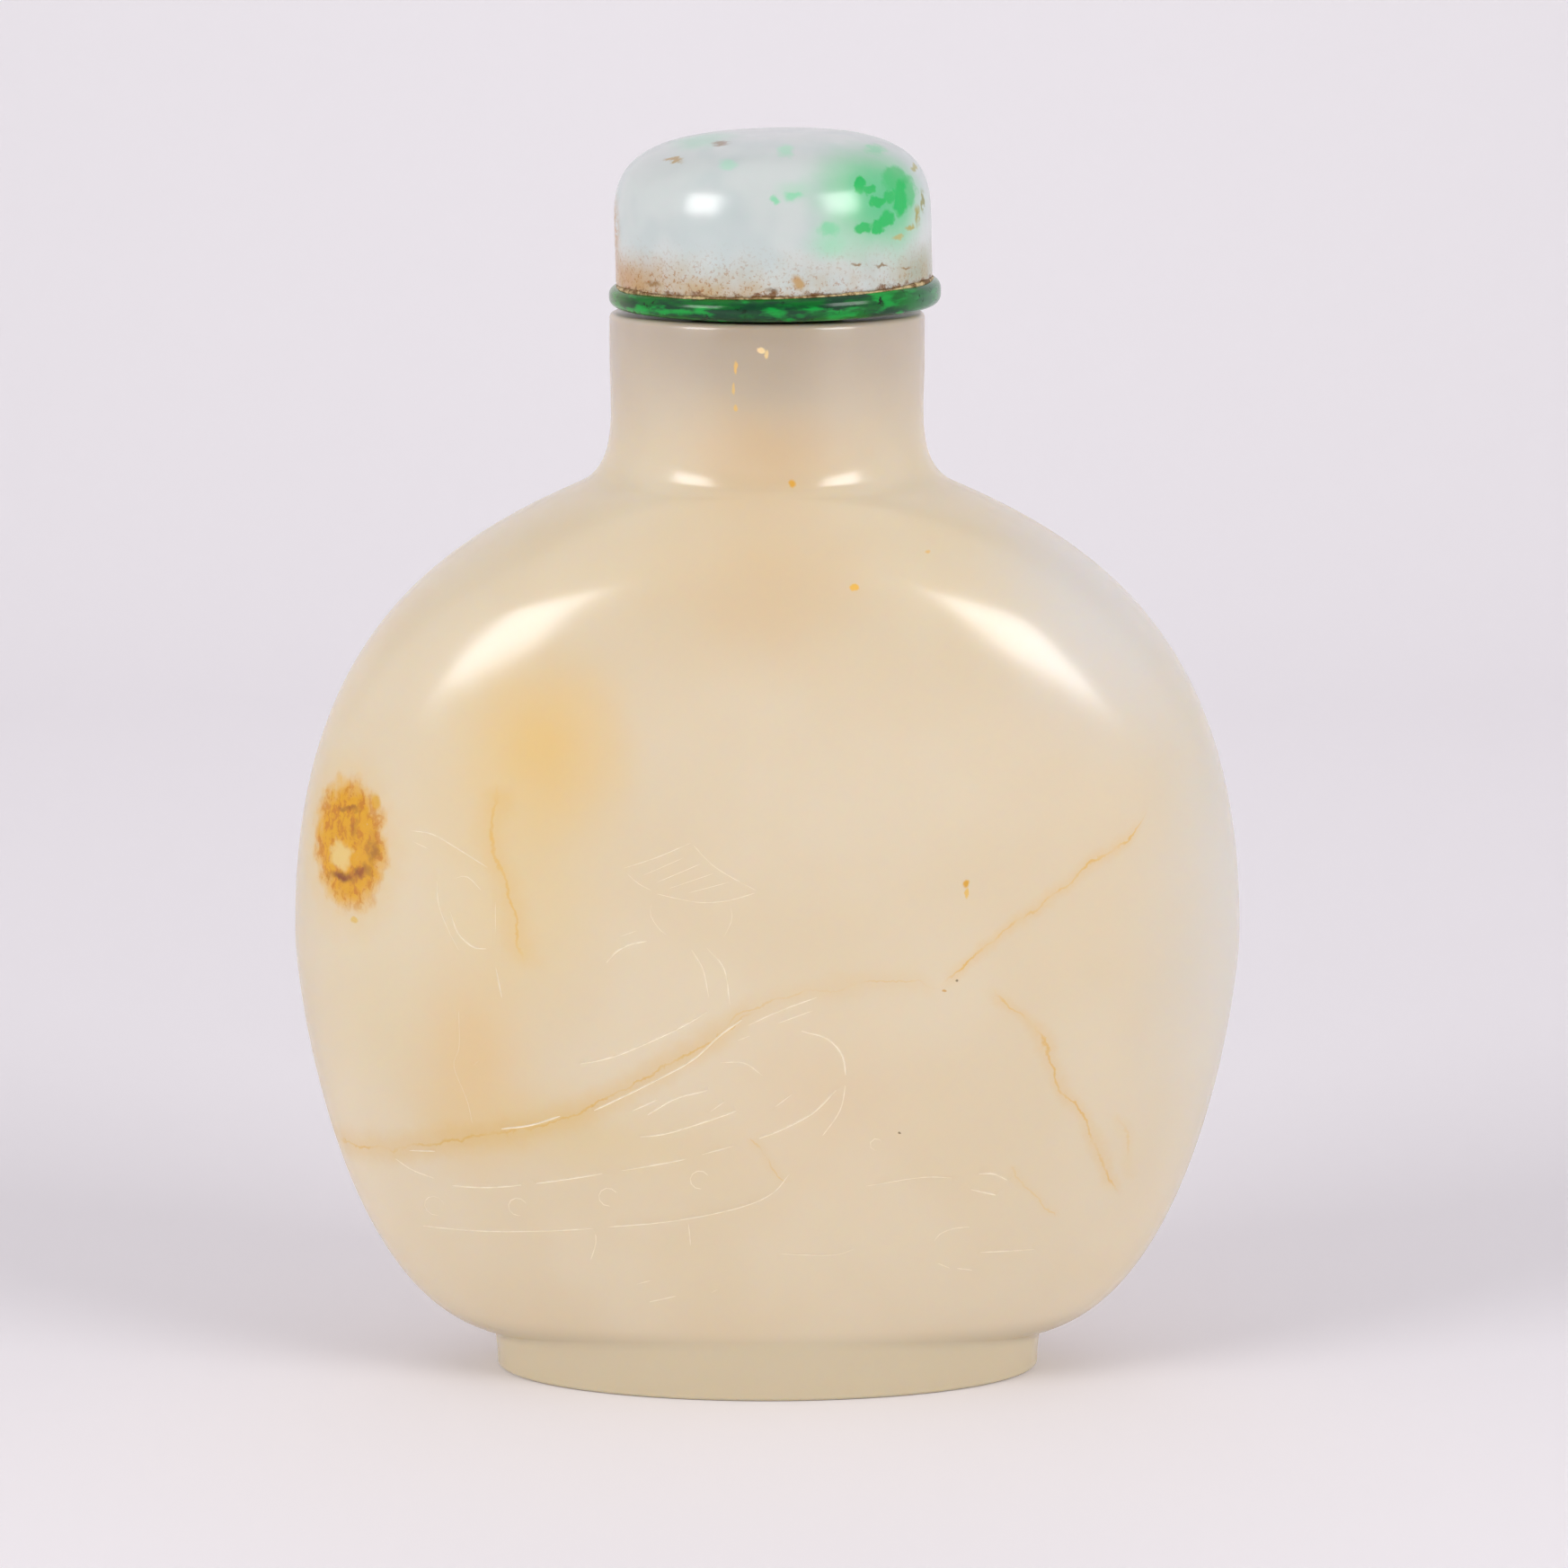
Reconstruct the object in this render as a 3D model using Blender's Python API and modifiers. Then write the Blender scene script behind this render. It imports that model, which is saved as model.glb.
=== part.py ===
# A snuff bottle: a flattened round flask hollowed out of pale stone, on an oval foot,
# closed by a domed stopper on a thin collar, with a cork that reaches into the neck.
# Metres, +Z up. The origin is the centre of the foot's underside, the broad face looks along -Y.

import math

import bmesh
import bpy
from mathutils import Vector

# Body, outside
body_half_width = 0.0253
body_half_depth = 0.0119
widest_height = 0.0238
shoulder_half_width = 0.0100
shoulder_height = 0.0479
shoulder_slope = math.radians(23.9)
shoulder_half_depth = 0.00863
shoulder_side_height = 0.0481
shoulder_side_slope = math.radians(51)

# Neck and lip
lip_height = 0.0570
neck_radius = 0.00832
neck_straight = 0.0026
lip_round = 0.0003

# Oval foot
foot_half_width = 0.01474
foot_half_depth = 0.00849
foot_end_height = 0.0020
foot_front_height = 0.00314
foot_end_slope = math.radians(9.2)
foot_front_slope = math.radians(60.7)
foot_taper = 0.00012
foot_round = 0.00025
foot_rim = 0.0018
foot_recess = 0.0008
foot_recess_slant = 0.0006

# Hollow inside
bore_radius = 0.0042
side_wall = 0.0043
front_wall = 0.0031
shoulder_wall = 0.0012
floor_wall = 0.0030

# Stopper
clearance = 0.0003
forward_tilt = math.radians(1.8)
side_tilt = math.radians(1.2)
collar_offset = 0.00048
collar_radius = 0.00875
collar_thickness = 0.00105
collar_round = 0.00045
cap_radius = 0.00835
cap_height = 0.0075
cap_wall = 0.0026
cap_base_round = 0.0003
cork_radius = 0.00385
cork_length = 0.0068
cork_taper = 0.00035
cork_round = 0.0003

# Where each curve's handles stand, as shares of the height or width that it spans
neck_straight_share = 0.367
neck_flare_share = 0.373
neck_side_straight_share = 0.95
neck_side_flare_share = 0.14
shoulder_reach_share = 0.31
shoulder_drop_share = 0.68
shoulder_side_reach_share = 0.241
shoulder_side_drop_share = 1.105
belly_drop_share = 0.153
belly_tuck_share = 0.789
belly_side_tuck_share = 0.254
hollow_reach_share = 0.34
hollow_drop_share = 0.66
hollow_belly_share = 0.45
hollow_floor_share = 0.86
cap_fullness = 3.1

# How far the levels of the shoulder droop from the middle of the broad face to the ends
shoulder_droop = 3.3
shoulder_droop_start = 0.1

# Smoothness: how many steps each stretch or turn takes
neck_steps = 7
shoulder_steps = 13
belly_steps = 12
hollow_steps = 8
hollow_floor_steps = 6
cap_steps = 12
edge_steps = 2
collar_edge_steps = 4
ring_segments = 56
turned_segments = 44
cork_segments = 28
sharp_angle = math.radians(35)


def bezier(a, b, c, d, steps, droop=1.0):
    """Points on a cubic curve from a to d, without a itself; a droop holds them near a for longer."""
    points = []
    for step in range(1, steps + 1):
        t = step / steps
        if droop != 1.0:
            t = shoulder_droop_start * t + (1 - shoulder_droop_start) * t**droop
        u = 1 - t
        points.append(tuple(
            u**3 * a[i] + 3 * u * u * t * b[i] + 3 * u * t * t * c[i] + t**3 * d[i]
            for i in range(2)
        ))
    return points


def arc(centre, radius, start, end, steps):
    """Points on a round edge, both ends included; the angles are in degrees."""
    points = []
    for step in range(steps + 1):
        angle = math.radians(start + (end - start) * step / steps)
        points.append((centre[0] + radius * math.cos(angle), centre[1] + radius * math.sin(angle)))
    return points


def outline(half_size, shoulder, slope, neck_shares, shoulder_shares, foot, foot_tangent, droop):
    """One outline of the outside, from the neck down to the foot, as (distance, height)."""
    flare_start = lip_height - neck_straight
    straight, flare = (share * (flare_start - shoulder[1]) for share in neck_shares)
    reach, drop = (share * (shoulder[1] - widest_height) for share in shoulder_shares)
    belly_drop = belly_drop_share * (widest_height - foot_end_height)
    points = [(neck_radius, lip_height - lip_round), (neck_radius, flare_start)]
    points += bezier(
        points[-1],
        (neck_radius, flare_start - straight),
        (shoulder[0] - flare * math.cos(slope), shoulder[1] + flare * math.sin(slope)),
        shoulder,
        neck_steps,
    )
    points += bezier(
        shoulder,
        (shoulder[0] + reach * math.cos(slope), shoulder[1] - reach * math.sin(slope)),
        (half_size, widest_height + drop),
        (half_size, widest_height),
        shoulder_steps,
        droop,
    )
    belly_handle = (half_size, widest_height - belly_drop)
    points += bezier(points[-1], belly_handle, foot_tangent, foot, belly_steps)
    return points


def outer_outlines():
    """The outline seen from the front and the one seen from the side, point for point."""
    tuck = (body_half_width - foot_half_width) * belly_tuck_share
    side_tuck = (widest_height - foot_front_height) * belly_side_tuck_share
    front = outline(
        body_half_width,
        (shoulder_half_width, shoulder_height),
        shoulder_slope,
        (neck_straight_share, neck_flare_share),
        (shoulder_reach_share, shoulder_drop_share),
        (foot_half_width, foot_end_height),
        (foot_half_width + tuck * math.cos(foot_end_slope),
         foot_end_height + tuck * math.sin(foot_end_slope)),
        1.0,
    )
    side = outline(
        body_half_depth,
        (shoulder_half_depth, shoulder_side_height),
        shoulder_side_slope,
        (neck_side_straight_share, neck_side_flare_share),
        (shoulder_side_reach_share, shoulder_side_drop_share),
        (foot_half_depth, foot_front_height),
        (foot_half_depth + side_tuck * math.cos(foot_front_slope),
         foot_front_height + side_tuck * math.sin(foot_front_slope)),
        shoulder_droop,
    )
    return front, side


def foot_outline(half_size, top):
    """The foot's wall, its round lower edge, its flat rim and the shallow recess inside it."""
    wall = half_size - foot_taper
    rim_inside = half_size - foot_rim
    points = [(wall + foot_taper / 2, (top + foot_round) / 2)]
    points += arc((wall - foot_round, foot_round), foot_round, 0, -90, edge_steps)
    points.append((rim_inside, 0.0))
    points.append((rim_inside - foot_recess_slant, foot_recess))
    return points


def hollow_outlines():
    """The hollow, from the lip's inner edge down the bore and out over the floor."""
    top = shoulder_height - shoulder_wall
    floor = foot_front_height + floor_wall
    span = top - widest_height
    depth = widest_height - floor

    def inner_outline(half_width):
        run = (half_width - bore_radius) * hollow_reach_share
        points = [(bore_radius, lip_height - lip_round), (bore_radius, (lip_height + top) / 2)]
        points.append((bore_radius, top))
        points += bezier(
            points[-1],
            (bore_radius + run, top - run * math.sin(shoulder_slope)),
            (half_width, widest_height + span * hollow_drop_share),
            (half_width, widest_height),
            hollow_steps,
        )
        points += bezier(
            points[-1],
            (half_width, widest_height - depth * hollow_belly_share),
            (half_width * hollow_floor_share, floor),
            (half_width * hollow_floor_share / 2, floor),
            hollow_floor_steps,
        )
        return points

    front = inner_outline(body_half_width - side_wall)
    side = inner_outline(body_half_depth - front_wall)
    return front, side, floor


def ring(front_point, side_point):
    """One level of the loft: an ellipse whose height eases from the front to the ends."""
    points = []
    for step in range(ring_segments):
        angle = 2 * math.pi * step / ring_segments
        across, along = math.cos(angle), math.sin(angle)
        height = front_point[1] * across**2 + side_point[1] * along**2
        points.append(Vector((front_point[0] * across, side_point[0] * along, height)))
    return points


def loft(name, rings, first_pole, last_pole):
    """A closed mesh through the rings, with a point that closes each end."""
    bm = bmesh.new()
    levels = [[bm.verts.new(point) for point in level] for level in rings]
    for upper, lower in zip(levels, levels[1:]):
        for step in range(ring_segments):
            after = (step + 1) % ring_segments
            bm.faces.new((upper[step], upper[after], lower[after], lower[step]))
    for level, pole, turn in ((levels[0], first_pole, 1), (levels[-1], last_pole, -1)):
        centre = bm.verts.new(pole)
        for step in range(ring_segments):
            pair = (level[step], level[(step + 1) % ring_segments])
            bm.faces.new((centre,) + pair[::turn])
    bmesh.ops.recalc_face_normals(bm, faces=bm.faces)
    mesh = bpy.data.meshes.new(name)
    bm.to_mesh(mesh)
    bm.free()
    return mesh


def turned(name, profile, segments, collection):
    """A round piece: its profile runs down from the axis to the axis, turned by a Screw."""
    mesh = bpy.data.meshes.new(name)
    points = [(radius, 0.0, height) for radius, height in profile]
    mesh.from_pydata(points, [(i, i + 1) for i in range(len(points) - 1)], [])
    piece = bpy.data.objects.new(name, mesh)
    collection.objects.link(piece)
    screw = piece.modifiers.new("Turn", "SCREW")
    screw.axis = "Z"
    screw.steps = segments
    screw.render_steps = segments
    screw.use_merge_vertices = True
    screw.merge_threshold = 0.00005
    screw.use_smooth_shade = True
    return piece


def material(name, colour, roughness):
    """A plain polished finish."""
    finish = bpy.data.materials.new(name)
    finish.use_nodes = True
    shader = finish.node_tree.nodes["Principled BSDF"]
    shader.inputs["Base Color"].default_value = (*colour, 1.0)
    shader.inputs["Roughness"].default_value = roughness
    shader.inputs["Metallic"].default_value = 0.0
    return finish


def make_bottle(collection):
    """The flask in one piece: neck, flattened body, foot and the hollow inside."""
    front, side = outer_outlines()
    lip_middle = lip_height - lip_round
    lip_outside = arc((neck_radius - lip_round, lip_middle), lip_round, 90, 0, edge_steps)[:-1]
    lip_inside = arc((bore_radius + lip_round, lip_middle), lip_round, 180, 90, edge_steps)[1:]
    hollow_front, hollow_side, floor = hollow_outlines()
    foot_front = foot_outline(foot_half_width, foot_end_height)
    foot_side = foot_outline(foot_half_depth, foot_front_height)
    front_line = hollow_front[::-1] + lip_inside + lip_outside + front + foot_front
    side_line = hollow_side[::-1] + lip_inside + lip_outside + side + foot_side
    rings = [ring(a, b) for a, b in zip(front_line, side_line)]
    mesh = loft("bottle_body", rings, Vector((0, 0, floor)), Vector((0, 0, foot_recess)))
    mesh.shade_smooth()
    mesh.set_sharp_from_angle(angle=sharp_angle)
    bottle = bpy.data.objects.new("bottle_body", mesh)
    collection.objects.link(bottle)
    bottle.data.materials.append(material("pale_nephrite", (0.76, 0.66, 0.50), 0.22))


def make_stopper(collection):
    """The domed cap, the collar under it and the cork, on one leaning axis."""
    lean = bpy.data.objects.new("stopper_lean", None)
    lean.location = (0, 0, lip_height)
    lean.rotation_euler = (forward_tilt, -side_tilt, 0)
    collection.objects.link(lean)

    tilt = math.acos(math.cos(forward_tilt) * math.cos(side_tilt))
    collar_bottom = clearance + neck_radius * math.sin(tilt)
    collar_top = collar_bottom + collar_thickness
    edge = collar_radius - collar_round
    profile = [(0, collar_top)]
    upper, lower = collar_top - collar_round, collar_bottom + collar_round
    profile += arc((edge, upper), collar_round, 90, 0, collar_edge_steps)
    profile += arc((edge, lower), collar_round, 0, -90, collar_edge_steps)
    profile.append((0, collar_bottom))
    collar = turned("stopper_collar", profile, turned_segments, collection)
    collar.data.materials.append(material("green_jadeite", (0.04, 0.30, 0.09), 0.20))

    cap_bottom = collar_top + clearance
    dome_height = cap_height - cap_wall
    dome_start = cap_bottom + cap_wall
    profile = [(0, cap_bottom + cap_height)]
    for step in range(1, cap_steps + 1):
        angle = math.radians(90 * (1 - step / cap_steps))
        profile.append((
            cap_radius * math.cos(angle) ** (2 / cap_fullness),
            dome_start + dome_height * max(0.0, math.sin(angle)) ** (2 / cap_fullness),
        ))
    base_edge = (cap_radius - cap_base_round, cap_bottom + cap_base_round)
    profile += arc(base_edge, cap_base_round, 0, -90, edge_steps)
    profile.append((0, cap_bottom))
    cap = turned("stopper_cap", profile, turned_segments, collection)
    cap.data.materials.append(material("white_and_green_jadeite", (0.66, 0.72, 0.70), 0.18))

    cork_top = collar_bottom - clearance
    cork_bottom = cork_top - cork_length
    cork_end = cork_radius - cork_taper
    profile = [(0, cork_top), (cork_radius, cork_top)]
    cork_edge = (cork_end - cork_round, cork_bottom + cork_round)
    profile += arc(cork_edge, cork_round, 0, -90, edge_steps)
    profile.append((0, cork_bottom))
    cork = turned("stopper_cork", profile, cork_segments, collection)
    cork.data.materials.append(material("old_cork", (0.22, 0.11, 0.05), 0.9))

    for piece in (collar, cap, cork):
        piece.parent = lean
    for piece in (collar, cap):
        piece.location.x = collar_offset


def main():
    for old in list(bpy.data.objects):
        bpy.data.objects.remove(old, do_unlink=True)
    collection = bpy.data.collections.new("snuff_bottle")
    bpy.context.scene.collection.children.link(collection)
    make_bottle(collection)
    make_stopper(collection)
    bpy.context.view_layer.update()


main()
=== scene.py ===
# A snuff bottle of pale nephrite with a jadeite stopper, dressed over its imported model.
# The sizes in the dictionaries are millimetres; the engraved broad face looks along -Y.

import math

import bmesh
import bpy
from mathutils import Euler, Matrix, Vector, noise
from mathutils.bvhtree import BVHTree


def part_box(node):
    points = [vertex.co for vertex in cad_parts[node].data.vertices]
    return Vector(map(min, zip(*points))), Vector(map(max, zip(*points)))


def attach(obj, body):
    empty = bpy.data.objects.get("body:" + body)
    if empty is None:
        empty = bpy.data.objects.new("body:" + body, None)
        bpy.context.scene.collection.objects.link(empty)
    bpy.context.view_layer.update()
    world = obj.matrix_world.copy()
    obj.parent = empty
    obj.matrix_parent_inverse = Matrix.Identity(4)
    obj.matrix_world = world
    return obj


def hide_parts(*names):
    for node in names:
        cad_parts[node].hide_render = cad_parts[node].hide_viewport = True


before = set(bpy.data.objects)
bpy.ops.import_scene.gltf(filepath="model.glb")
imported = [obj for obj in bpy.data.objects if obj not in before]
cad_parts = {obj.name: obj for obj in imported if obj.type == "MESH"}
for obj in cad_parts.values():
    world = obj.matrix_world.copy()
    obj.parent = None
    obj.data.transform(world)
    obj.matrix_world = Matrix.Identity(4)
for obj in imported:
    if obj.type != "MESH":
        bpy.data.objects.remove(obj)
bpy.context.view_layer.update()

mm = 0.001
scene = bpy.context.scene


# Small helpers

def linear(hexColour):
    # sRGB hex to the linear values that Blender's sockets take
    channels = [int(hexColour[i:i + 2], 16) / 255 for i in (0, 2, 4)]
    return [c / 12.92 if c <= 0.04045 else ((c + 0.055) / 1.055) ** 2.4 for c in channels] + [1.0]


def addNode(tree, kind, settings, links=None):
    # settings name a property or a socket; links name the socket that a source feeds
    node = tree.nodes.new(kind)
    for name, value in settings.items():
        if isinstance(name, str) and hasattr(node, name):
            setattr(node, name, value)
        else:
            node.inputs[name].default_value = value
    for name, source in (links or {}).items():
        tree.links.new(source, node.inputs[name])
    return node


def newMaterial(name):
    # an empty material with its shader, and the place on the piece in millimetres
    finish = bpy.data.materials.new(name)
    finish.use_nodes = True
    tree = finish.node_tree
    shader = tree.nodes["Principled BSDF"]
    spot = addNode(tree, "ShaderNodeTexCoord", {})
    place = addNode(tree, "ShaderNodeVectorMath", {"operation": "SCALE", "Scale": 1 / mm},
                    {0: spot.outputs["Object"]})
    return finish, tree, shader, place.outputs[0]


def speckle(tree, place, grain, detail=2.0, rough=0.5):
    # a noise whose blotches are about grain millimetres across
    cloud = addNode(tree, "ShaderNodeTexNoise",
                    {"Scale": 1 / grain, "Detail": detail, "Roughness": rough}, {"Vector": place})
    return cloud.outputs["Fac"]


def wander(tree, place, grain, reach):
    # the same place, pushed about by up to reach millimetres, for natural edges
    cloud = addNode(tree, "ShaderNodeTexNoise", {"Scale": 1 / grain, "Detail": 3.0}, {"Vector": place})
    push = addNode(tree, "ShaderNodeVectorMath", {"operation": "SUBTRACT", 1: (0.5, 0.5, 0.5)},
                   {0: cloud.outputs["Color"]})
    push = addNode(tree, "ShaderNodeVectorMath", {"operation": "SCALE", "Scale": 2 * reach},
                   {0: push.outputs[0]})
    moved = addNode(tree, "ShaderNodeVectorMath", {"operation": "ADD"}, {0: place, 1: push.outputs[0]})
    return moved.outputs[0]


def fade(tree, value, start, end):
    # 0 before start, 1 past end, easing between
    ease = addNode(tree, "ShaderNodeMapRange",
                   {"interpolation_type": "SMOOTHSTEP", "From Min": start, "From Max": end},
                   {"Value": value})
    return ease.outputs["Result"]


def patch(tree, place, centre, reach, core=0.3):
    # 1 within the core share of an oval, easing to 0 at its edge
    offset = addNode(tree, "ShaderNodeVectorMath", {"operation": "SUBTRACT", 1: centre}, {0: place})
    shrunk = addNode(tree, "ShaderNodeVectorMath", {"operation": "DIVIDE", 1: reach},
                     {0: offset.outputs[0]})
    far = addNode(tree, "ShaderNodeVectorMath", {"operation": "LENGTH"}, {0: shrunk.outputs[0]})
    return fade(tree, far.outputs["Value"], 1.0, core)


def times(tree, first, second):
    product = addNode(tree, "ShaderNodeMath", {"operation": "MULTIPLY"}, {0: first})
    if isinstance(second, (int, float)):
        product.inputs[1].default_value = second
    else:
        tree.links.new(second, product.inputs[1])
    return product.outputs[0]


def tint(tree, under, hexColour, amount):
    # a colour laid over what is under it, as far as amount says
    layer = addNode(tree, "ShaderNodeMix", {"data_type": "RGBA", 7: linear(hexColour)},
                    {0: amount, 6: under})
    return layer.outputs[2]


def blend(tree, first, second, amount):
    # from the first colour to the second, as far as amount says
    mix = addNode(tree, "ShaderNodeMix",
                  {"data_type": "RGBA", 6: linear(first), 7: linear(second)}, {0: amount})
    return mix.outputs[2]


def remap(tree, value, low, high, start=0.0, end=1.0):
    # a value between start and end, taken in a straight line to low and high
    line = addNode(tree, "ShaderNodeMapRange",
                   {"From Min": start, "From Max": end, "To Min": low, "To Max": high}, {"Value": value})
    return line.outputs["Result"]


def stretch(tree, place, shares):
    # the place with each axis scaled, so that a noise on it runs long one way
    scaled = addNode(tree, "ShaderNodeVectorMath", {"operation": "MULTIPLY", 1: shares}, {0: place})
    return scaled.outputs[0]


def polish(tree, shader, place, roughness, grain, relief):
    # the hand-made gloss: a little uneven, over a form that waves by some thousandths
    wear = remap(tree, speckle(tree, place, 2.6, 4.0, 0.6), roughness * 0.75, roughness * 1.3)
    tree.links.new(wear, shader.inputs["Roughness"])
    wave = addNode(tree, "ShaderNodeBump", {"Strength": 1.0, "Distance": relief * mm},
                   {"Height": speckle(tree, place, grain, 1.0, 0.4)})
    tree.links.new(wave.outputs["Normal"], shader.inputs["Normal"])


def letLightIn(shader, stone):
    shader.inputs["IOR"].default_value = stone["ior"]
    shader.inputs["Subsurface Weight"].default_value = 1.0
    shader.inputs["Subsurface Radius"].default_value = stone["glowColours"]
    shader.inputs["Subsurface Scale"].default_value = stone["glow"] * mm


def finishPiece(bm, name, finishes, smoothAngle=35):
    # the mesh goes into an object at the origin, with its place in its mesh
    mesh = bpy.data.meshes.new(name)
    bmesh.ops.recalc_face_normals(bm, faces=bm.faces)
    bm.to_mesh(mesh)
    bm.free()
    mesh.shade_smooth()
    mesh.set_sharp_from_angle(angle=math.radians(smoothAngle))
    piece = bpy.data.objects.new(name, mesh)
    scene.collection.objects.link(piece)
    for finish in finishes:
        mesh.materials.append(finish)
    return piece


def spinProfile(points, steps):
    # a profile of (distance, height) points, turned about Z into a closed form
    bm = bmesh.new()
    level = bm.verts.layers.int.new("level")
    corners = []
    for index, (distance, height) in enumerate(points):
        corner = bm.verts.new((distance, 0, height))
        corner[level] = index
        corners.append(corner)
    edges = [bm.edges.new(pair) for pair in zip(corners, corners[1:])]
    bmesh.ops.spin(bm, geom=corners + edges, cent=(0, 0, 0), axis=(0, 0, 1),
                   angle=math.radians(360), steps=steps, use_merge=True)
    bmesh.ops.remove_doubles(bm, verts=bm.verts, dist=0.0005)
    return bm, level


def onCurve(a, b, c, d, t):
    # the point at share t of a cubic curve
    u = 1 - t
    return tuple(u**3 * a[i] + 3 * u * u * t * b[i] + 3 * u * t * t * c[i] + t**3 * d[i] for i in (0, 1))


def bezier(a, b, c, d, steps, last=1.0):
    # points on a cubic curve from a towards d, without a itself
    return [onCurve(a, b, c, d, last * step / steps) for step in range(1, steps + 1)]


def roundEdge(centre, radius, start, end, steps):
    # an arc of points round a centre, from one angle in degrees to another
    angles = [math.radians(start + (end - start) * step / steps) for step in range(steps + 1)]
    return [(centre[0] + radius * math.cos(a), centre[1] + radius * math.sin(a)) for a in angles]


def aim(thing, place, target, up):
    # a camera or a lamp stands at place and looks at target
    thing.location = Vector(place) * mm
    thing.rotation_euler = (Vector(target) - Vector(place)).to_track_quat("-Z", up).to_euler()
    scene.collection.objects.link(thing)


# Camera, at the photograph's height and angle

cameraSpot = {"place": (0.89, -320, 83.94), "aim": (0.89, 0, 31.75), "lens": 139.4, "clipStart": 10}

camera = bpy.data.objects.new("camera", bpy.data.cameras.new("camera"))
camera.data.lens = cameraSpot["lens"]
camera.data.clip_start = cameraSpot["clipStart"] * mm
aim(camera, cameraSpot["place"], cameraSpot["aim"], "Y")
scene.camera = camera
print("camera placed")


# Light: two soft boxes in front, a strip over the sheet behind, and a pale room round them

lights = {
    "side": math.radians(52.3), "height": math.radians(18.9), "distance": 500, "size": 231,
    "power": 1.2, "about": (0, 0, 50),
    # the strip only brightens the sheet
    "backPlace": (0, 190, 420), "backAim": (0, 430, 330), "backSize": (500, 150), "backPower": 0.3,
    "room": "e6e4e9", "roomStrength": 0.86,
    "darkSide": 0.3, "darkWay": (0, -1, 0.2), "darkEdge": (0.35, 0.95),
}

for name, turn in (("left", -1), ("right", 1)):
    box = bpy.data.lights.new("softBox_" + name, "AREA")
    box.shape = "SQUARE"
    box.size = lights["size"] * mm
    box.energy = lights["power"]
    away = Vector((turn * math.sin(lights["side"]), -math.cos(lights["side"]), math.tan(lights["height"])))
    boxPlace = Vector(lights["about"]) + away.normalized() * lights["distance"]
    aim(bpy.data.objects.new("softBox_" + name, box), boxPlace, lights["about"], "Y")

strip = bpy.data.lights.new("backStrip", "AREA")
strip.shape = "RECTANGLE"
strip.size, strip.size_y = (side * mm for side in lights["backSize"])
strip.energy = lights["backPower"]
aim(bpy.data.objects.new("backStrip", strip), lights["backPlace"], lights["backAim"], "X")

scene.world = bpy.data.worlds.new("paleRoom")
scene.world.use_nodes = True
room = scene.world.node_tree
sky = room.nodes["Background"]
sky.inputs["Color"].default_value = linear(lights["room"])
# the side that the camera stands on is dimmer, as in a studio
around = addNode(room, "ShaderNodeTexCoord", {})
toward = addNode(room, "ShaderNodeVectorMath", {"operation": "DOT_PRODUCT", 1: lights["darkWay"]},
                 {0: around.outputs["Generated"]})
dim = addNode(room, "ShaderNodeMapRange",
              {"interpolation_type": "SMOOTHSTEP",
               "From Min": lights["darkEdge"][0], "From Max": lights["darkEdge"][1],
               "To Min": lights["roomStrength"], "To Max": lights["roomStrength"] * lights["darkSide"]},
              {"Value": toward.outputs["Value"]})
room.links.new(dim.outputs["Result"], sky.inputs["Strength"])
scene.view_settings.view_transform = "Standard"
print("lights placed")


# Floor: one pale sheet that sweeps up behind

sweep = {"halfWidth": 900, "front": -1700, "bend": 240, "bendRadius": 190, "top": 900, "bendSteps": 24,
         "colour": "f1edf0", "roughness": 0.9, "shine": 0.15}


def only(kind, parts):
    return [part for part in parts if isinstance(part, kind)]


def makeFloor():
    # even and dull, so that it only catches soft shadow
    finish, tree, shader, place = newMaterial("matt_paper")
    shader.inputs["Base Color"].default_value = linear(sweep["colour"])
    shader.inputs["Roughness"].default_value = sweep["roughness"]
    shader.inputs["Specular IOR Level"].default_value = sweep["shine"]
    bm = bmesh.new()
    ends = [bm.verts.new((side * sweep["halfWidth"] * mm, sweep["front"] * mm, 0)) for side in (-1, 1)]
    edge = bm.edges.new(ends)
    grown = bmesh.ops.extrude_edge_only(bm, edges=[edge])["geom"]
    ends = only(bmesh.types.BMVert, grown)
    edge = only(bmesh.types.BMEdge, grown)
    bmesh.ops.translate(bm, verts=ends, vec=(0, (sweep["bend"] - sweep["front"]) * mm, 0))
    turned = bmesh.ops.spin(bm, geom=ends + edge, cent=(0, sweep["bend"] * mm, sweep["bendRadius"] * mm),
                            axis=(1, 0, 0), angle=math.radians(90), steps=sweep["bendSteps"])["geom_last"]
    grown = bmesh.ops.extrude_edge_only(bm, edges=only(bmesh.types.BMEdge, turned))["geom"]
    bmesh.ops.translate(bm, verts=only(bmesh.types.BMVert, grown), vec=(0, 0, sweep["top"] * mm))
    floor = finishPiece(bm, "floor", [finish])


makeFloor()
print("floor made")


# Nephrite, the stone of the flask

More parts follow.
